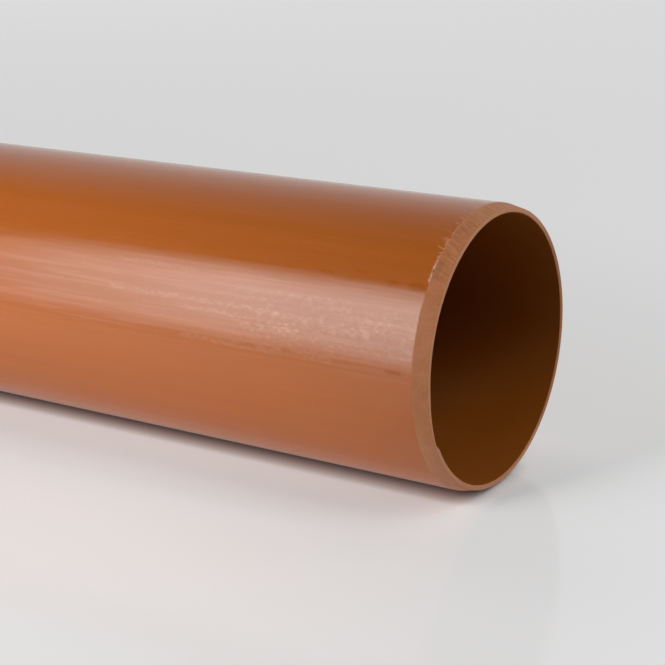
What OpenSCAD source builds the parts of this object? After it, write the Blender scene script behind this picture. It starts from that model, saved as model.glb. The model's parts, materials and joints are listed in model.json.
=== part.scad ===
// Plain-ended plastic drainage pipe.
// A straight extruded tube of constant wall, lying on its side along X.
// Both ends are sawn square, turned to a shallow lead-in taper for pushing
// into sockets, and deburred around the bore.
// Millimetres. The origin is on the ground under the middle of the pipe.

/* [Barrel] */
// Outside diameter of the pipe
outer_d = 110; // [75:1:400]
// Wall thickness of the pipe
wall = 3.2; // [2.6:0.1:12]
// Length from end face to end face
pipe_length = 3000; // [500:10:6000]

/* [Spigot ends] */
// Length of the lead-in taper, measured along the pipe
taper_length = 6; // [2:0.5:20]
// Wall thickness left at the end face, where the taper stops
lip_thickness = 1.9; // [1.0:0.1:2.5]
// Radius that the turning tool leaves on the outer corner of the lip
lip_radius = 0.2; // [0.1:0.05:0.4]
// Width of the 45 degree deburring bevel around the mouth of the bore
bore_bevel = 0.25; // [0.1:0.05:0.5]

/* [Hidden] */

// Sides of the drawn circles
$fn = 180;
// Straight steps in the small arc on the lip
lip_steps = 4;

outer_r = outer_d / 2;
bore_r = outer_r - wall;
half_length = pipe_length / 2;

// The taper takes the outside down from the barrel to the lip's sharp corner
taper_depth = wall - lip_thickness;
taper_angle = atan(taper_depth / taper_length);
lip_corner_r = outer_r - taper_depth;

// Points of the rounded corner between the end face and the taper,
// as [radius, station], from the end face outwards
function lip_arc() =
    let (
        turn = 90 - taper_angle,
        setback = lip_radius * tan(turn / 2),
        centre = [lip_corner_r - setback, half_length - lip_radius]
    )
    [for (i = [0 : lip_steps])
        let (a = 90 - turn * i / lip_steps)
        centre + lip_radius * [cos(a), sin(a)]];

// Half section of the wall at one end, from the bore round to the barrel
function end_section() = concat(
    [
        [bore_r, half_length - bore_bevel],
        [bore_r + bore_bevel, half_length]
    ],
    lip_arc(),
    [[outer_r, half_length - taper_length]]
);

// The same end turned over to the other end of the pipe, in reverse order
function turned_over(section) =
    [for (i = [len(section) - 1 : -1 : 0]) [section[i].x, -section[i].y]];

// Section of the wall from end to end, as [radius, station]
module wall_section() {
    near_end = end_section();
    polygon(concat(near_end, turned_over(near_end)));
}

// The whole pipe, one extruded piece
module pipe() {
    color([0.69, 0.40, 0.22])
        translate([0, 0, outer_r])
            rotate([0, 90, 0])
                rotate_extrude()
                    wall_section();
}

pipe();
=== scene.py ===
import json
import math

import bpy
from mathutils import Matrix, Vector, noise


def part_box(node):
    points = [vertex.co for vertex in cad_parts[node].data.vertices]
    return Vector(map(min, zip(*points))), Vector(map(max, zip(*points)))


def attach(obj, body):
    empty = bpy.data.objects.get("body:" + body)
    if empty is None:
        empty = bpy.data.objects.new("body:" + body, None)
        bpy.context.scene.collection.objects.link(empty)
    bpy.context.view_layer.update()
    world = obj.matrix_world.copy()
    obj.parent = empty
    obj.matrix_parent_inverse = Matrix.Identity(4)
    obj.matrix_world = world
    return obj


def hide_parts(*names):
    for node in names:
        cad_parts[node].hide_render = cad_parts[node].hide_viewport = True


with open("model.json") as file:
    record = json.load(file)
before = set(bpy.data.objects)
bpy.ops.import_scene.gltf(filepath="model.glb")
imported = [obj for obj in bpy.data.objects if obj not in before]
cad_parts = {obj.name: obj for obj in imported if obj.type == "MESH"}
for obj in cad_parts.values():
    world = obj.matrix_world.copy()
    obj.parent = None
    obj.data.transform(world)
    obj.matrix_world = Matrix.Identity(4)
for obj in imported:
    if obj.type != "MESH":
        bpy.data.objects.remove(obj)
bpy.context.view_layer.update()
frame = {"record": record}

# The pipe lies along X with its middle over the origin; sizes are in metres
mounts = {mount["name"]: mount["dims"] for mount in frame["record"]["mounts"]}
lowCorner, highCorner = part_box("pipe")
pipeLength = highCorner[0] - lowCorner[0]
halfLength = pipeLength / 2
outerRadius = (highCorner[2] - lowCorner[2]) / 2
axisHeight = (highCorner[2] + lowCorner[2]) / 2
boreRadius = mounts["bore"]["r_mm"] / 1000
taperLength = (pipeLength - mounts["spigot_a"]["length_mm"] / 1000) / 2
boreBevel = (pipeLength - mounts["bore"]["length_mm"] / 1000) / 2
print("pipe:", round(pipeLength, 4), "m long, radius", round(outerRadius, 4), "bore", boreRadius)

view = {
    "place": (0.2963, -0.56005, 0.21227),  # from the middle of the near mouth, in metres
    "turn": 33.551,  # degrees round from facing +Y
    "dip": 17.888,  # degrees below level
    "lean": -1.776,  # degrees of roll
    "lens": 95.849,  # millimetres
    "frameWidth": 36,
    "nearest": 0.02,  # metres from it where its sight starts and ends
    "furthest": 60,
}


def makeCamera():
    data = bpy.data.cameras.new("viewCamera")
    data.lens = view["lens"]
    data.sensor_width = view["frameWidth"]
    data.clip_start = view["nearest"]
    data.clip_end = view["furthest"]
    camera = bpy.data.objects.new("viewCamera", data)
    bpy.context.collection.objects.link(camera)
    mouth = Vector((halfLength, 0, axisHeight))
    turn = Matrix.Rotation(math.radians(view["turn"]), 4, "Z")
    tilt = Matrix.Rotation(math.radians(90 - view["dip"]), 4, "X")
    lean = Matrix.Rotation(math.radians(view["lean"]), 4, "Z")
    camera.matrix_world = Matrix.Translation(mouth + Vector(view["place"])) @ turn @ tilt @ lean
    bpy.context.scene.camera = camera


makeCamera()
print("camera is set")

pipeShape = {
    "lipThickness": 0.0019,  # wall left at the end face
    "lipRadius": 0.0002,  # round on the outer corner of the lip
    "bevelMiddle": 0.55,  # how far out the bevel's middle ring stands, as a share of the bevel
    "sides": 384,  # faces round the pipe
    "faceSteps": 5,  # strips across the end face, round the lip and along the taper
    "lipSteps": 5,
    "taperSteps": 12,
    "firstStep": 0.0004,  # spacing of the rings beside each edge, which grows away from it
    "growth": 1.5,
    "outOfRound": 0.00004,  # how far the extruded wall wanders inwards
    "shoulderWander": 0.00012,  # how unevenly the taper meets the barrel
    "wanderAlong": 0.8,  # how busy the wander is along the pipe, round it and round its shoulders
    "wanderRound": 1.7,
    "shoulderRound": 9,
    "gougeDepth": 0.0011,  # where the deburring blade dug into the near mouth
    "gougeFrom": -4,  # degrees below the -Y side, where it starts
    "gougeTo": -26,  # and where the blade left the work
    "gougeCurve": 0.8,  # below 1, it bites early
    "gougeExit": 0.08,  # the share of its length in which the blade leaves
    "gougeInward": 0.8,  # how far it reaches into the bore, as a share of its depth
    "sharpAngle": 9,  # degrees; edges that bend more than this stay crisp
}

skinSlot, cutSlot, boreSlot = 0, 1, 2
closeTo = 0.000001  # metres; lengths nearer to each other than this are the same


def growingSteps(start, end):
    # Distances from an edge: close together beside it and further apart away from it
    steps = []
    gap = pipeShape["firstStep"]
    reach = start + gap
    while reach < end:
        steps.append(reach)
        gap *= pipeShape["growth"]
        reach += gap
    return steps


def endProfile():
    # One end, from the bore out to the barrel: distance from the face, radius, material of the next strip
    ringsReach = halfLength / 3
    lipCorner = boreRadius + pipeShape["lipThickness"]
    slope = math.atan2(outerRadius - lipCorner, taperLength)
    radius = pipeShape["lipRadius"]
    turn = math.pi / 2 - slope
    setback = radius * math.tan(turn / 2)
    points = [(depth, boreRadius, boreSlot) for depth in reversed(growingSteps(boreBevel, ringsReach))]
    points.append((boreBevel, boreRadius, cutSlot))
    points.append((boreBevel / 2, boreRadius + boreBevel * pipeShape["bevelMiddle"], cutSlot))
    faceStart = boreRadius + boreBevel
    faceEnd = lipCorner - setback
    steps = pipeShape["faceSteps"]
    for step in range(steps):
        points.append((0.0, faceStart + (faceEnd - faceStart) * step / steps, cutSlot))
    steps = pipeShape["lipSteps"]
    for step in range(steps + 1):
        angle = turn * step / steps
        points.append((radius - radius * math.cos(angle), faceEnd + radius * math.sin(angle), cutSlot))
    depth, height = points[-1][:2]
    steps = pipeShape["taperSteps"]
    for step in range(1, steps):
        share = step / steps
        points.append((
            depth + (taperLength - depth) * share,
            height + (outerRadius - height) * share,
            cutSlot,
        ))
    points.append((taperLength, outerRadius, skinSlot))
    points += [(depth, outerRadius, skinSlot) for depth in growingSteps(taperLength, ringsReach)]
    return points


def pipeProfile():
    # The closed section: near end from bore to barrel, the barrel, the far end, and back along the bore
    near = endProfile()
    stations = [halfLength * share / 4 for share in (2, 1, 0, -1, -2)]
    ring = [(halfLength - depth, radius, slot) for depth, radius, slot in near]
    ring += [(station, outerRadius, skinSlot) for station in stations]
    for index in range(len(near) - 1, -1, -1):
        depth, radius = near[index][:2]
        slot = near[index - 1][2] if index else boreSlot
        ring.append((depth - halfLength, radius, slot))
    ring += [(station, boreRadius, boreSlot) for station in reversed(stations)]
    return ring


def gougeAt(angle):
    # Depth of the blade's dig at an angle round the mouth: it deepens all the way and then ends at once
    around = math.degrees(math.pi - angle)
    share = (pipeShape["gougeFrom"] - around) / (pipeShape["gougeFrom"] - pipeShape["gougeTo"])
    leaving = pipeShape["gougeExit"]
    if share <= 0 or share >= 1 + leaving:
        return 0.0
    if share > 1:
        return pipeShape["gougeDepth"] * (1 + leaving - share) / leaving
    return pipeShape["gougeDepth"] * share ** pipeShape["gougeCurve"]


def ringPoint(station, radius, side):
    angle = 2 * math.pi * side / pipeShape["sides"]
    across, up = math.cos(angle), math.sin(angle)
    depth = halfLength - abs(station)
    if radius > outerRadius - closeTo:
        busy = pipeShape["wanderRound"]
        wander = noise.noise(Vector((station * pipeShape["wanderAlong"], across * busy, up * busy)))
        radius -= pipeShape["outOfRound"] * (0.5 + 0.5 * wander)
        if abs(depth - taperLength) < closeTo:
            busy = pipeShape["shoulderRound"]
            wander = noise.noise(Vector((across * busy, up * busy, station)))
            station -= math.copysign(pipeShape["shoulderWander"] * wander, station)
    if station > 0 and depth < boreBevel + closeTo:
        # The dig widens the bevel and eats into the end face
        gouge = gougeAt(angle)
        inward = gouge * pipeShape["gougeInward"]
        edge = boreRadius + boreBevel
        if depth > boreBevel - closeTo:
            station -= inward
        elif radius < edge - closeTo:
            station -= inward / 2
            radius += gouge / 2
        elif depth < closeTo and radius < boreRadius + pipeShape["lipThickness"]:
            face = pipeShape["lipThickness"] - boreBevel
            radius += gouge * max(0.0, 1 - (radius - edge) / face)
    return (station, radius * across, axisHeight + radius * up)


# Where each strip of the surface lies on the bake map: its lowest and highest V
bakeStrips = {
    "skin": (0.005, 0.520),
    "bore": (0.530, 0.800),
    "nearEnd": (0.815, 0.905),
    "farEnd": (0.920, 0.990),
}
# How the map's U is shared out: a part evenly along the pipe, and the rest to what is near each end
bakeSpread = {
    "margin": 0.004,
    "even": 0.40,
    "nearEnd": 0.46,
    "farEnd": 0.14,
    "nearReach": 0.22,  # metres
    "farReach": 0.08,
}


def acrossMap(share):
    margin = bakeSpread["margin"]
    return margin + (1 - 2 * margin) * share


def alongMap(station):
    inNear = halfLength - station
    inFar = halfLength + station
    share = bakeSpread["even"] * inNear / pipeLength
    share += bakeSpread["nearEnd"] * (1 - math.exp(-inNear / bakeSpread["nearReach"]))
    share += bakeSpread["farEnd"] * math.exp(-inFar / bakeSpread["farReach"])
    return acrossMap(min(max(share, 0.0), 1.0))


def stripName(station, slot):
    if slot == cutSlot:
        return "nearEnd" if station > 0 else "farEnd"
    return "skin" if slot == skinSlot else "bore"


def bakeCorners(ring):
    # The corners of all faces on the bake map. The way from end to end runs along U on the skin and in the
    # bore, and along V on the turned ends, which are short.
    sides = pipeShape["sides"]
    names = [stripName(station, slot) for station, radius, slot in ring]
    swept = [0.0]
    for row, here in enumerate(ring):
        there = ring[(row + 1) % len(ring)]
        swept.append(swept[-1] + math.hypot(there[0] - here[0], there[1] - here[1]))
    corners = []
    for row, name in enumerate(names):
        low, high = bakeStrips[name]
        turned = ring[row][2] == cutSlot
        if turned:
            rows = [other for other, otherName in enumerate(names) if otherName == name]
            start, stop = swept[rows[0]], swept[rows[-1] + 1]
            stretch = (high - low) / (stop - start)
            here, there = [low + stretch * (swept[step] - start) for step in (row, row + 1)]
        else:
            here, there = [alongMap(ring[step % len(ring)][0]) for step in (row, row + 1)]
        for side in range(sides):
            first, second = side / sides, (side + 1) / sides
            if turned:
                left, right = acrossMap(first), acrossMap(second)
                corners += [left, here, right, here, right, there, left, there]
            else:
                below, above = low + (high - low) * first, low + (high - low) * second
                corners += [here, below, here, above, there, above, there, below]
    return corners


def buildPipe():
    sides = pipeShape["sides"]
    ring = pipeProfile()
    verts = [ringPoint(station, radius, side) for station, radius, slot in ring for side in range(sides)]
    faces = []
    slots = []
    for row, point in enumerate(ring):
        here, there = row * sides, (row + 1) % len(ring) * sides
        for side in range(sides):
            following = (side + 1) % sides
            faces.append((here + side, here + following, there + following, there + side))
            slots.append(point[2])
    mesh = bpy.data.meshes.new("drainPipe")
    mesh.from_pydata(verts, [], faces)
    mesh.polygons.foreach_set("material_index", slots)
    mesh.polygons.foreach_set("use_smooth", [True] * len(faces))
    mesh.uv_layers.new(name="OFBake").data.foreach_set("uv", bakeCorners(ring))
    mesh.update()
    mesh.set_sharp_from_angle(angle=math.radians(pipeShape["sharpAngle"]))
    piece = bpy.data.objects.new("drainPipe", mesh)
    bpy.context.collection.objects.link(piece)
    return piece


drainPipe = buildPipe()
print("pipe mesh:", len(drainPipe.data.vertices), "points")


class Wire:
    # An output socket that can be used in sums

    def __init__(self, tree, socket=None):
        self.tree = tree
        self.socket = socket

    def node(self, kind, settings=None, sockets=None, output=0):
        made = self.tree.nodes.new(kind)
        for name, value in (settings or {}).items():
            if name == "stops":
                fillRamp(made.color_ramp, value)
            else:
                setattr(made, name, value)
        for name, value in (sockets or {}).items():
            if isinstance(value, Wire):
                self.tree.links.new(value.socket, made.inputs[name])
            else:
                made.inputs[name].default_value = value
        return Wire(self.tree, made.outputs[output] if made.outputs else None)

    def maths(self, operation, *values, clamp=False):
        settings = {"operation": operation, "use_clamp": clamp}
        return self.node("ShaderNodeMath", settings, dict(enumerate(values)))

    def __add__(self, other):
        return self.maths("ADD", self, other)

    __radd__ = __add__

    def __sub__(self, other):
        return self.maths("SUBTRACT", self, other)

    def __rsub__(self, other):
        return self.maths("SUBTRACT", other, self)

    def __mul__(self, other):
        return self.maths("MULTIPLY", self, other)

    __rmul__ = __mul__

    def __truediv__(self, other):
        return self.maths("DIVIDE", self, other)

    def __rtruediv__(self, other):
        return self.maths("DIVIDE", other, self)

    def __abs__(self):
        return self.maths("ABSOLUTE", self)

    def larger(self, other):
        return self.maths("MAXIMUM", self, other)

    def clamped(self):
        return self.maths("ADD", self, 0.0, clamp=True)

    def between(self, low, high):
        # 0 at low, 1 at high and smooth between; high may be the lower of the two
        sockets = {"Value": self, "From Min": min(low, high), "From Max": max(low, high)}
        if low > high:
            sockets["To Min"] = 1.0
            sockets["To Max"] = 0.0
        return self.node("ShaderNodeMapRange", {"interpolation_type": "SMOOTHSTEP"}, sockets)

    def near(self, middle, reach, fade):
        # 1 within reach of the middle, fading to 0
        return abs(self - middle).between(reach + fade, reach)

    def ramp(self, stops):
        return self.node("ShaderNodeValToRGB", {"stops": stops}, {0: self})

    def mixed(self, first, second):
        # The first colour where this is 0, the second where it is 1
        return self.node("ShaderNodeMix", {"data_type": "RGBA"}, {"Factor": self, 6: first, 7: second}, 2)

    def part(self, name):
        return self.node("ShaderNodeSeparateXYZ", {}, {"Vector": self}, name)

    def vectorMaths(self, operation, sockets, output=0):
        return self.node("ShaderNodeVectorMath", {"operation": operation}, {0: self, **sockets}, output)

    def stretched(self, factors):
        return self.vectorMaths("MULTIPLY", {1: factors})

    def dimmed(self, level):
        # This colour at a level
        return self.vectorMaths("SCALE", {"Scale": level})

    def grain(self, factors, scale, detail=2.0, roughness=0.5):
        # Noise from 0 to 1 on this place, drawn out along the axes whose factors are small
        place = self.stretched(factors)
        sockets = {"Vector": place, "Scale": scale, "Detail": detail, "Roughness": roughness}
        return self.node("ShaderNodeTexNoise", {"noise_dimensions": "3D"}, sockets)


def fillRamp(ramp, stops):
    while len(ramp.elements) > 1:
        ramp.elements.remove(ramp.elements[-1])
    for number, (place, level) in enumerate(stops):
        element = ramp.elements[0] if number == 0 else ramp.elements.new(place)
        element.position = place
        element.color = (level, level, level, 1)


def newMaterial(name):
    material = bpy.data.materials.new(name)
    material.use_nodes = True
    material.node_tree.nodes.clear()
    return material, Wire(material.node_tree)


def plastic(start, finish, colour, roughness, height):
    # A height of 1 stands as high as the finish's lines are deep
    sockets = {"Strength": 1.0, "Distance": finish["lineDepth"], "Height": height}
    relief = start.node("ShaderNodeBump", {}, sockets)
    sockets = {"Base Color": colour, "Roughness": roughness, "IOR": finish["ior"], "Normal": relief}
    shader = start.node("ShaderNodeBsdfPrincipled", {}, sockets)
    start.node("ShaderNodeOutputMaterial", {}, {"Surface": shader})


def pipePlace(start):
    # The place on the pipe, the millimetres in from the near end, and the degrees up from its -Y side
    spot = start.node("ShaderNodeTexCoord", {}, {}, "Object")
    inward = (halfLength - spot.part("X")) * 1000
    rise = spot.part("Z") - axisHeight
    forward = 0 - spot.part("Y")
    around = rise.maths("ARCTAN2", rise, forward) * (180 / math.pi)
    return spot, inward, around


cutterSlant = 0.45  # how steeply the marks that the cutter drew climb as they leave the mouth


def slantPlace(start, inward, around):
    # The millimetres along those marks and across them
    girth = around * (outerRadius * 1000 * math.pi / 180)
    return start.node("ShaderNodeCombineXYZ", {}, {"X": inward, "Y": girth - inward * cutterSlant})


# In the finishes, a Side or Length is its middle, its reach to each side of that and its fade: sides in
# degrees up from -Y, lengths in millimetres in from the near end. An Edge is where there is none of it and
# where there is all. A Grain is a noise's factors along X, Y and Z, where a small one draws it out, its
# scale, its detail and its roughness, and a Range is which values of the noise count as none and as all.
skinFinish = {
    "light": (0.430, 0.113, 0.0185, 1),  # the terracotta wanders between these two
    "deep": (0.383, 0.099, 0.015, 1),
    "rubbed": (0.74, 0.38, 0.25, 1),  # where the skin has whitened
    "burr": (0.78, 0.52, 0.40, 1),  # swarf left by the cutter
    "frayed": (0.52, 0.215, 0.095, 1),  # where the cut breaks out into the skin
    "stainAndSheenBreak": (0.35, 0.075, 0.0, 1),  # brown marks: stains, and painted breaks in the sheen along its edges
    "roughness": 0.12,
    "ior": 1.6,
    "lineDepth": 0.000008,  # extrusion lines, in metres
    # How far each thing whitens the skin
    "streaks": 0.14,
    "fineStreaks": 0.04,
    "plainShare": 0.12,  # the share of the streaks that shows outside the band of painted sheen
    "mottle": 0.07,
    "grippedMottle": 0.24,
    "crust": 0.13,
    "scuffLeast": 0.2,  # the share of a scuff that shows between its crusts
    "hairs": 0.30,
    # How much of the skin each thing covers
    "frayedCover": 0.8,
    "burrCover": 0.6,
    "stainAndSheenBreakCover": 0.9,
    # What each thing adds to the roughness, and how many line depths it stands up
    "lineDulling": 0.05,
    "scuffDulling": 0.15,
    "cutDulling": 0.4,
    "fineHeight": 0.15,
    "peelHeight": 1.8,
    "pittedHeight": 3,
    "scuffHeight": 0.5,
    "burrHeight": 6,
    "hairHeight": 4,
    "sheenBandSide": (20, 13, 9),  # the band where the softbox's highlight lies, whose streaks are painted sheen
    "sheenBandLeast": 0.7,
    "grippedSide": (18, 7, 6),
    "grippedLength": (40, 30, 26),
    "pittedSide": (37, 5, 6),
    "pittedEdge": (80, 40),
    "frayedSide": (76, 28, 10),
    "frayedEdge": (6.4, 5.9),
    "frayedStray": 5,  # millimetres
    "burrSide": (47.5, 3.5, 3),
    "burrLength": (6.3, 0.6, 0.5),
    "burrStray": (6, 12),  # millimetres and degrees
    "hairSide": (70, 13, 8),
    "hairEdge": (6.0, 4.4),
    "longestHair": 8,  # millimetres
    "broadGrain": ((0.01, 1, 1), 60, 2),
    "broadRange": (0.3, 0.75),
    "lineGrain": ((0.03, 1, 1), 700, 3),
    "lineRange": (0.40, 0.70),
    "fineGrain": ((0.012, 1, 1), 1500, 2),
    "fineRange": (0.3, 0.8),
    "cloudGrain": ((0.5, 1, 1), 34, 3, 0.6),
    "cloudRange": (0.35, 0.65),
    "granuleGrain": ((0.6, 1, 1), 620, 3, 0.6),
    "crustGrain": ((0.5, 1, 1), 680, 4, 0.7),
    "crustRange": (0.53, 0.60),
    "crustMiddle": 0.44,  # where the frayed edge doesn't stray
    "raggedGrain": ((1, 1, 1), 900, 3, 0.7),
    "peelGrain": ((0.35, 1, 1), 300, 3),
    "hairGrain": ((0.04, 1, 1), 1.2, 1),  # this and the next are on the slant, in millimetres
    "hairEndGrain": ((0, 1, 1), 0.45, 1),
    "hairRange": (0.54, 0.64),
    "scuffRange": (0.45, 0.57),  # of the crust
    "burrRange": (0.44, 0.56),  # of the ragged grain, as is the next
    "markRange": (0.30, 0.55),
    # Scuffs and marks: millimetres in from the near end, degrees up from the -Y side,
    # half the length in millimetres, half the width in degrees, strength
    "scuffs": (
        (105, 20.5, 40, 0.5, 0.16),
        (84, 17.2, 26, 0.4, 0.13),
        (60, 28.6, 26, 0.3, 0.13),
        (125, 32.2, 18, 0.4, 0.08),
        (62, 17.0, 6, 3.5, 0.10),
        (40, 18.5, 14, 2.0, 0.12),
        (22, 22.0, 4, 3.0, 0.10),
        (70, 14.5, 14, 0.5, 0.12),
        (74, 5.8, 34, 0.8, 0.10),
    ),
    "marks": (
        (14, 5.6, 2.4, 0.5, 1.0),
        (60, 6.8, 1.2, 0.6, 0.8),
        (77, 6.4, 3.2, 0.3, 0.6),
        (68, 6.8, 1.0, 0.3, 0.5),
        (20, 39.0, 1.4, 0.5, 0.8),
        (35, 41.5, 1.8, 0.4, 0.5),
        (49, 39.5, 1.6, 0.5, 0.6),
        (10, 38.5, 3.0, 1.2, 0.9),
    ),
    "scuffStray": 3,  # degrees that an outline strays
    "markStray": 2,
    "patchStray": 3,  # and the millimetres for each of those degrees
    "patchFades": (1.6, 0.6),  # millimetres and degrees
}


def patches(places, inward, around, stray):
    # The sum of soft-edged patches, whose outlines are broken up by the stray noise
    inward = inward + stray * skinFinish["patchStray"]
    around = around + stray
    lengthFade, widthFade = skinFinish["patchFades"]
    total = 0.0
    for along, up, length, width, strength in places:
        patch = inward.near(along, length, lengthFade) * around.near(up, width, widthFade)
        total = total + patch * strength
    return total


def makeSkin():
    material, start = newMaterial("pipeSkin")
    spot, inward, around = pipePlace(start)
    broad = spot.grain(*skinFinish["broadGrain"])
    lines = spot.grain(*skinFinish["lineGrain"])
    fine = spot.grain(*skinFinish["fineGrain"])
    cloud = spot.grain(*skinFinish["cloudGrain"])
    granules = spot.grain(*skinFinish["granuleGrain"])
    crust = spot.grain(*skinFinish["crustGrain"])
    ragged = spot.grain(*skinFinish["raggedGrain"])
    peel = spot.grain(*skinFinish["peelGrain"])

    # The drawn skin: faint everywhere, plainest along the band of the softbox's highlight, where the
    # streaks are painted sheen
    least = skinFinish["sheenBandLeast"]
    sheenBand = least + cloud.between(*skinFinish["cloudRange"]) * (1 - least)
    sheenBand = sheenBand * around.near(*skinFinish["sheenBandSide"])
    gripped = inward.near(*skinFinish["grippedLength"]) * around.near(*skinFinish["grippedSide"])
    streaked = lines.between(*skinFinish["lineRange"]) * skinFinish["streaks"]
    streaked = streaked + fine.between(*skinFinish["fineRange"]) * skinFinish["fineStreaks"]
    streaked = streaked * (skinFinish["plainShare"] + sheenBand * (1 - skinFinish["plainShare"]))
    mottled = (granules - 0.5) * (skinFinish["mottle"] + gripped * skinFinish["grippedMottle"])
    mottled = mottled + crust.between(*skinFinish["crustRange"]) * gripped * skinFinish["crust"]
    stray = (granules - 0.5) * skinFinish["scuffStray"]
    scuffed = patches(skinFinish["scuffs"], inward, around, stray)
    scuffed = scuffed * (skinFinish["scuffLeast"] + crust.between(*skinFinish["scuffRange"]))

    # The cut's edge, frayed over the top quarter, with its burr and the hairs it drew along the skin
    frayed = inward - (crust - skinFinish["crustMiddle"]) * skinFinish["frayedStray"]
    frayed = frayed.between(*skinFinish["frayedEdge"]) * around.near(*skinFinish["frayedSide"])
    lengthStray, sideStray = skinFinish["burrStray"]
    burr = (inward + (ragged - 0.5) * lengthStray).near(*skinFinish["burrLength"])
    burr = burr * (around + (cloud - 0.5) * sideStray).near(*skinFinish["burrSide"])
    burr = burr * ragged.between(*skinFinish["burrRange"])
    slanted = slantPlace(start, inward, around)
    hairs = slanted.grain(*skinFinish["hairGrain"]).between(*skinFinish["hairRange"])
    drawn = inward - slanted.grain(*skinFinish["hairEndGrain"]) * skinFinish["longestHair"]
    hairs = hairs * drawn.between(*skinFinish["hairEdge"]) * around.near(*skinFinish["hairSide"])
    hairs = hairs * skinFinish["hairs"]
    # Brown marks: stains, and painted breaks in the sheen along its upper and lower edges, where the
    # reflection is missing
    stainsAndSheenBreaks = patches(skinFinish["marks"], inward, around, (ragged - 0.5) * skinFinish["markStray"])
    stainsAndSheenBreaks = stainsAndSheenBreaks * ragged.between(*skinFinish["markRange"])

    colour = broad.between(*skinFinish["broadRange"]).mixed(skinFinish["deep"], skinFinish["light"])
    colour = (streaked + mottled + scuffed + hairs).clamped().mixed(colour, skinFinish["rubbed"])
    colour = (frayed * skinFinish["frayedCover"]).mixed(colour, skinFinish["frayed"])
    colour = (burr * skinFinish["burrCover"]).mixed(colour, skinFinish["burr"])
    colour = (stainsAndSheenBreaks * skinFinish["stainAndSheenBreakCover"]).clamped().mixed(colour, skinFinish["stainAndSheenBreak"])
    rough = skinFinish["roughness"] + (lines - 0.5) * skinFinish["lineDulling"]
    rough = rough + scuffed * skinFinish["scuffDulling"]
    rough = rough + (burr + frayed + hairs) * skinFinish["cutDulling"]
    pitted = inward.between(*skinFinish["pittedEdge"]) * around.near(*skinFinish["pittedSide"])
    height = lines + fine * skinFinish["fineHeight"] + granules * gripped
    height = height + peel * (skinFinish["peelHeight"] + pitted * skinFinish["pittedHeight"])
    height = height + scuffed * skinFinish["scuffHeight"]
    height = height + burr * skinFinish["burrHeight"] + hairs * skinFinish["hairHeight"]
    plastic(start, skinFinish, colour, rough, height)
    return material


cutFinish = {
    "turned": (0.385, 0.125, 0.036, 1),
    "torn": (0.70, 0.315, 0.155, 1),  # whitened by the saw
    "smudge": (0.20, 0.105, 0.050, 1),
    "roughness": 0.6,
    "ior": 1.5,
    "lineDepth": 0.00003,
    "turning": 0.38,  # millimetres between the tool's lines
    # How far the colour goes towards torn: everywhere, in bands over the lower front and the top, on the
    # end face and beside the bore, and what of that the far side of the face loses to painted shade
    "paleness": 0.14,
    "bandPaleness": 0.22,
    "facePaleness": 0.86,
    "mouthPaleness": 0.3,
    "faceShade": 0.7,
    "chatteredPaleness": 0.09,
    "chatterPaleness": 1.3,  # this and the next two push it both ways
    "gritPaleness": 0.6,
    "blotchPaleness": 0.42,
    "smudgeCover": 0.6,
    "gritDulling": 0.2,
    "lineHeight": 0.35,
    "gritHeight": 1.4,
    "chatterHeight": 3,
    "faceEdge": (0.12, 0.02),
    "faceShadeEdge": (115, 150),  # degrees either way round from -Y
    "mouthReach": 0.3,  # millimetres beyond the bevel
    "chatteredSide": (78, 24, 22),
    "chatteredLeast": 0.15,
    "paleBandSides": ((-42, 14, 24), (98, 14, 18)),
    "waver": 5,  # radians by which the tool's lines stray
    "smudgedSide": (47, 2.4, 2.6),
    "smudgedLength": (4.8, 0.8, 0.8),
    "waverGrain": ((1, 1, 1), 40, 2),
    "gritGrain": ((1, 1, 1), 1400, 3, 0.7),
    "smudgeRange": (0.35, 0.60),  # of the grit
    "blotchGrain": ((1, 1, 1), 240, 2),
    "chatterGrain": ((0.12, 1, 1), 1.25, 2, 0.6),  # on the slant, in millimetres
}


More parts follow.
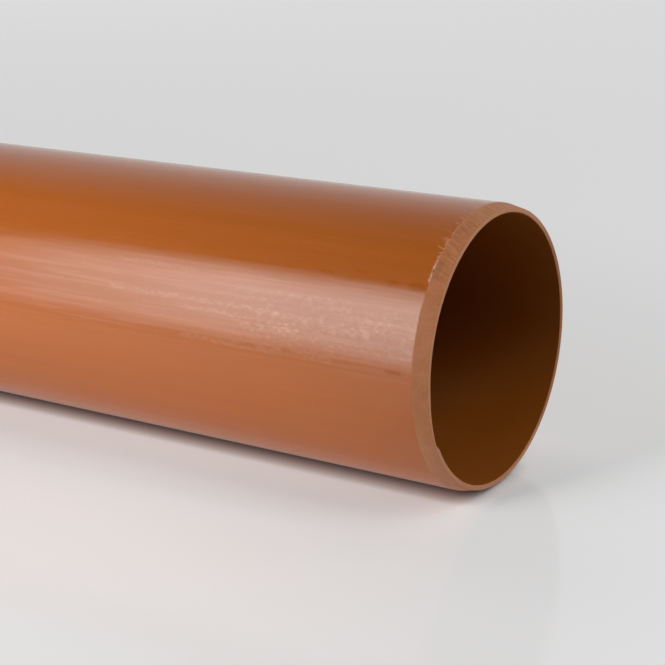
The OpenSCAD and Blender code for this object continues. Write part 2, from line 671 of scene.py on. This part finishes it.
def makeCut():
    material, start = newMaterial("turnedEnd")
    spot, nearInward, around = pipePlace(start)
    middle = halfLength * 1000
    inward = middle - abs(nearInward - middle)  # the same at both ends
    rim = spot.stretched((0, 1, 1))
    radial = rim.vectorMaths("DISTANCE", {1: (0, 0, axisHeight)}, "Value") * 1000
    onFace = inward.between(*cutFinish["faceEdge"])
    mouthEdge = (boreRadius + boreBevel) * 1000 + cutFinish["mouthReach"]
    atMouth = radial.between(mouthEdge, boreRadius * 1000)
    tool = (inward + radial * onFace) * (2 * math.pi / cutFinish["turning"])
    tool = tool + spot.grain(*cutFinish["waverGrain"]) * cutFinish["waver"]
    lines = tool.maths("SINE", tool)
    grit = spot.grain(*cutFinish["gritGrain"])
    blotch = spot.grain(*cutFinish["blotchGrain"])

    # Chatter: short grooves across the taper, worst on the upper front quarter
    chatter = slantPlace(start, nearInward, around).grain(*cutFinish["chatterGrain"])
    least = cutFinish["chatteredLeast"]
    chattered = around.near(*cutFinish["chatteredSide"]) * (1 - least) + least
    torn = (chatter - 0.5) * cutFinish["chatterPaleness"] + cutFinish["chatteredPaleness"]
    torn = chattered * torn + (grit - 0.5) * cutFinish["gritPaleness"]
    torn = torn + (blotch - 0.5) * cutFinish["blotchPaleness"]
    # Paler bands over the lower front and the top of the taper
    lowSide, highSide = cutFinish["paleBandSides"]
    paleBands = around.near(*lowSide) + around.near(*highSide)
    # The far side of the end face keeps less of its paleness, a painted shade
    faceShade = abs(around).between(*cutFinish["faceShadeEdge"]) * cutFinish["faceShade"]
    pale = torn + cutFinish["paleness"] + paleBands * cutFinish["bandPaleness"]
    pale = pale + onFace * (cutFinish["facePaleness"] - faceShade) + atMouth * cutFinish["mouthPaleness"]
    smudged = nearInward.near(*cutFinish["smudgedLength"]) * around.near(*cutFinish["smudgedSide"])
    smudged = smudged * grit.between(*cutFinish["smudgeRange"]) * cutFinish["smudgeCover"]
    colour = pale.clamped().mixed(cutFinish["turned"], cutFinish["torn"])
    colour = smudged.mixed(colour, cutFinish["smudge"])
    rough = cutFinish["roughness"] + (grit - 0.5) * cutFinish["gritDulling"]
    height = lines * cutFinish["lineHeight"] + grit * cutFinish["gritHeight"]
    height = height + chatter * chattered * cutFinish["chatterHeight"]
    plastic(start, cutFinish, colour, rough, height)
    return material


boreFinish = {
    "body": (0.33, 0.096, 0.011, 1),
    "dust": (0.38, 0.150, 0.050, 1),
    "dustCover": 0.2,
    "dustDulling": 0.5,
    "lineDulling": 0.15,
    "roughness": 0.4,
    "ior": 1.3,
    "lineDepth": 0.00003,
    "lineGrain": ((0.006, 1, 1), 300, 3),
    "dustGrain": ((0.4, 1, 1), 40, 3),
    "dustRange": (0.45, 0.75),
}


def makeBore():
    material, start = newMaterial("pipeBore")
    spot = start.node("ShaderNodeTexCoord", {}, {}, "Object")
    lines = spot.grain(*boreFinish["lineGrain"])
    dust = spot.grain(*boreFinish["dustGrain"]).between(*boreFinish["dustRange"])
    dust = dust * boreFinish["dustCover"]
    colour = dust.mixed(boreFinish["body"], boreFinish["dust"])
    rough = boreFinish["roughness"] + (lines - 0.5) * boreFinish["lineDulling"]
    rough = rough + dust * boreFinish["dustDulling"]
    plastic(start, boreFinish, colour, rough, lines)
    return material


for material in (makeSkin(), makeCut(), makeBore()):
    drainPipe.data.materials.append(material)
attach(drainPipe, "root")
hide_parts("pipe")
print("pipe is dressed")

# The floor is a sheet lit from below. Its glow is only what the camera and reflections see of that:
# it lights nothing, and the floorFill lamp, which lies on the sheet, stands in for what it throws up.
# Along and Across run from none to all, in metres beyond the near mouth or behind the pipe's axis.
floorFinish = {
    "colour": (0.74, 0.74, 0.74, 1),
    "roughness": 0.12,
    "ior": 1.3,
    "reach": 16,  # metres to each side
    "contactShade": 0.006,  # metres from the pipe within which the glow darkens
    "frontGlow": 0.47,  # in front of the near part of the pipe, a painted pool of light
    "mouthDrop": 0.10,  # how much less of it is left beyond the mouth
    "mouthAlong": (-0.16, 0.09),
    "nearPartAlong": (-0.9, -0.4),
    "nearPartAcross": (-1.3, -0.6),
    "middleGlow": 0.32,  # in front of the rest of the pipe
    "frontAlong": (-pipeLength - 0.2, -pipeLength + 0.7),
    "frontAcross": (-2.2, -1.0),
    "backGlow": 0.23,
    "backRise": 0.07,  # what is added further back
    "backAcross": (0.05, 0.42),
    "furtherRise": 0.02,
    "furtherAcross": (0.6, 1.1),
    "distantRise": 0.12,  # and far off on all sides
    "distantReach": (1.5, 3.0),
    "distantFrom": -0.6,  # the place along that this is far from
    "wedgeStart": -0.03,  # metres behind the axis at which the dim back, the pipe's painted shadow, begins
    "wedgeSpread": 2.8,  # how fast it opens out beyond the mouth
    "wedgeLeast": 0.008,  # metres beyond the mouth; less than this counts as this
    "besideAcross": (0, 0.06, 0.05),  # close to the pipe: middle, reach and fade
    "besideAlong": (-halfLength, halfLength - 0.04, 0.07),
    # Close to the pipe the glow is painted a little brighter and cooler, against the pipe's warm bounce
    # light
    "besideRise": 0.008,
    "besideTint": (0.92, 1.0, 1.03, 1),
    "openTint": (1, 1, 1, 1),
    "mirroredShare": 0.62,  # the share of the glow that reflections see, which paints the floor's reflection in the pipe
    "mirroredRise": 0.35,  # what is added to it in front of the pipe, brightening that painted reflection
    "mirroredAcross": (-0.08, -0.15),
}


def makeFloor():
    mesh = bpy.data.meshes.new("studioFloor")
    reach = floorFinish["reach"]
    corners = [(-reach, -reach, 0), (reach, -reach, 0), (reach, reach, 0), (-reach, reach, 0)]
    mesh.from_pydata(corners, [], [(0, 1, 2, 3)])
    floor = bpy.data.objects.new("studioFloor", mesh)
    bpy.context.collection.objects.link(floor)
    material, start = newMaterial("floorAcrylic")
    sockets = {
        "Base Color": floorFinish["colour"],
        "Roughness": floorFinish["roughness"],
        "IOR": floorFinish["ior"],
    }
    sheet = start.node("ShaderNodeBsdfPrincipled", {}, sockets)
    seen = start.node("ShaderNodeLightPath", {}, {}, "Is Camera Ray")
    mirrored = start.node("ShaderNodeLightPath", {}, {}, "Is Glossy Ray")
    sockets = {"Distance": floorFinish["contactShade"]}
    unshaded = start.node("ShaderNodeAmbientOcclusion", {"samples": 8}, sockets, "AO")
    spot = start.node("ShaderNodeTexCoord", {}, {}, "Object")
    along = spot.part("X") - halfLength
    across = spot.part("Y")

    # The glow is strongest in front of the near part of the pipe, a painted pool of light, and weakest
    # behind it, a painted shadow of the pipe
    beside = across.near(*floorFinish["besideAcross"]) * along.near(*floorFinish["besideAlong"])
    beyond = along.between(*floorFinish["mouthAlong"])
    frontLevel = floorFinish["frontGlow"] - beyond * floorFinish["mouthDrop"]
    frontLevel = frontLevel + beside * floorFinish["besideRise"]
    nearPart = along.between(*floorFinish["nearPartAlong"]) * across.between(*floorFinish["nearPartAcross"])
    frontLevel = (frontLevel - floorFinish["middleGlow"]) * nearPart + floorFinish["middleGlow"]
    backLevel = across.between(*floorFinish["backAcross"]) * floorFinish["backRise"]
    backLevel = backLevel + across.between(*floorFinish["furtherAcross"]) * floorFinish["furtherRise"]
    backLevel = backLevel + floorFinish["backGlow"]

    # The dimmer back, the pipe's painted shadow, opens out in a wedge from the mouth
    shadowWedge = along.larger(floorFinish["wedgeLeast"]) * floorFinish["wedgeSpread"]
    front = ((across - floorFinish["wedgeStart"]) / shadowWedge).between(1, 0)
    front = front * across.between(*floorFinish["frontAcross"]) * along.between(*floorFinish["frontAlong"])
    distant = abs(along - floorFinish["distantFrom"]).larger(abs(across))
    distant = distant.between(*floorFinish["distantReach"])
    level = backLevel + (frontLevel - backLevel) * front + distant * floorFinish["distantRise"]

    reflected = floorFinish["mirroredShare"]
    reflected = reflected + across.between(*floorFinish["mirroredAcross"]) * floorFinish["mirroredRise"]
    # Painted cooler tint close to the pipe
    colour = beside.mixed(floorFinish["openTint"], floorFinish["besideTint"])
    # The camera sees the glow darkened close to the pipe, a painted contact shade, and reflections see
    # their painted share
    colour = colour.dimmed((seen * unshaded + mirrored * reflected) * level)
    glow = start.node("ShaderNodeEmission", {}, {"Color": colour})
    both = start.node("ShaderNodeAddShader", {}, {0: sheet, 1: glow})
    start.node("ShaderNodeOutputMaterial", {}, {"Surface": both})
    mesh.materials.append(material)


sky = {
    "backdrop": 0.66,  # what the camera sees beyond the floor
    "ambient": 0.09,
    "rear": 0.80,  # to the back left, where it is brightest
    "rearHeading": (-0.26, 0.966),
    "rearRange": (0.3, 0.75),  # how squarely a heading has to face it, from none to all
    # From level (0) to overhead (1), and the share of the light at that height
    "fade": [(0.31, 1), (0.56, 0.76), (0.75, 0.34), (0.84, 0.10), (0.88, 0.02), (1, 0)],
}


def makeSky():
    world = bpy.data.worlds.new("studioSky")
    world.use_nodes = True
    world.node_tree.nodes.clear()
    start = Wire(world.node_tree)
    heading = start.node("ShaderNodeTexCoord", {}, {}, "Generated")
    flat = heading.stretched((1, 1, 0)).vectorMaths("NORMALIZE", {})
    rearX, rearY = sky["rearHeading"]
    rear = (flat.part("Y") * rearY + flat.part("X") * rearX).between(*sky["rearRange"])
    lit = heading.part("Z").ramp(sky["fade"]) * (sky["ambient"] + (sky["rear"] - sky["ambient"]) * rear)
    seen = start.node("ShaderNodeLightPath", {}, {}, "Is Camera Ray")
    glow = start.node("ShaderNodeBackground", {}, {"Strength": lit + (sky["backdrop"] - lit) * seen})
    start.node("ShaderNodeOutputWorld", {}, {"Surface": glow})
    bpy.context.scene.world = world


# Each lamp's middle, its width and height, the point that it faces, its radiance, and whether it
# lights the pipe alone, because it would leave a bright patch on the floor
lampPlan = {
    "softbox": ((halfLength - 0.36, -0.36, 0.306), (0.84, 0.588), (halfLength - 0.36, 0, 0.306), 4.0, True),
    "stripLamp": ((-1.2, -1.4, 0.8), (1.5, 1.2), (-1.2, 0, 0.5), 3.2, True),
    "backLamp": ((0, 1.5, 0.16), (3.4, 0.28), (0, 0, 0.05), 4.6, True),
    # The second endLamp stands over the far end
    "endLamp": ((halfLength + 0.92, 0, 0.98), (0.5, 1.15), (halfLength, 0, 0.05), 3.9, False),
    "endLamp.001": ((-halfLength - 0.92, 0, 0.98), (0.5, 1.15), (-halfLength, 0, 0.05), 3.9, True),
    "overhead": ((0, 0.6, 1.55), (4.4, 0.8), (0, 0, 0), 0.6, False),
    "floorFill": ((0, -0.314, 0.0003), (pipeLength, 0.592), (0, -0.314, 1), 0.62, False),
}

# The brightness of the softbox's cloth, from its left edge to its right and from its foot to its top
cloth = {
    "side": [(0.26, 0), (0.30, 0.04), (0.46, 0.61), (0.62, 1), (0.80, 1), (0.90, 0.45), (1, 0.2)],
    "rise": [
        (0, 0.08), (0.03, 0.17), (0.07, 0.44), (0.11, 0.63), (0.3, 0.92), (0.53, 1), (0.64, 0.84),
        (0.83, 0.4), (1, 0.05),
    ],
    "lean": 0.245,  # how far the left edge leans over as it rises
    "straight": 0.32,  # the share of the height below which it doesn't
}


def makeLamp(name, middle, size, aim, radiance):
    lamp = bpy.data.lights.new(name, "AREA")
    lamp.shape = "RECTANGLE"
    lamp.size, lamp.size_y = size
    lamp.energy = radiance * size[0] * size[1] * math.pi
    piece = bpy.data.objects.new(name, lamp)
    bpy.context.collection.objects.link(piece)
    away = Vector(middle) - Vector(aim)
    piece.location = middle
    piece.rotation_euler = away.to_track_quat("Z", "Y").to_euler()
    piece.visible_camera = False
    piece.visible_glossy = False
    return piece


def fadeSoftbox(softbox):
    lamp = softbox.data
    lamp.use_nodes = True
    lamp.node_tree.nodes.clear()
    start = Wire(lamp.node_tree)
    spread = start.node("ShaderNodeNewGeometry", {}, {}, "Parametric")
    up = spread.part("Y")
    across = spread.part("X") + up.larger(cloth["straight"]) * cloth["lean"]
    bright = across.ramp(cloth["side"]) * up.ramp(cloth["rise"])
    glow = start.node("ShaderNodeEmission", {}, {"Strength": bright})
    start.node("ShaderNodeOutputLight", {}, {"Surface": glow})
    softbox.visible_glossy = True


def lightPipe():
    pipeOnly = bpy.data.collections.new("pipeOnly")
    pipeOnly.objects.link(drainPipe)
    for name, (middle, size, aim, radiance, leavesFloor) in lampPlan.items():
        piece = makeLamp(name, middle, size, aim, radiance)
        if name == "softbox":
            fadeSoftbox(piece)
        if leavesFloor:
            piece.light_linking.receiver_collection = pipeOnly


makeFloor()
makeSky()
lightPipe()
bpy.context.scene.view_settings.view_transform = "Standard"
print("studio is lit")
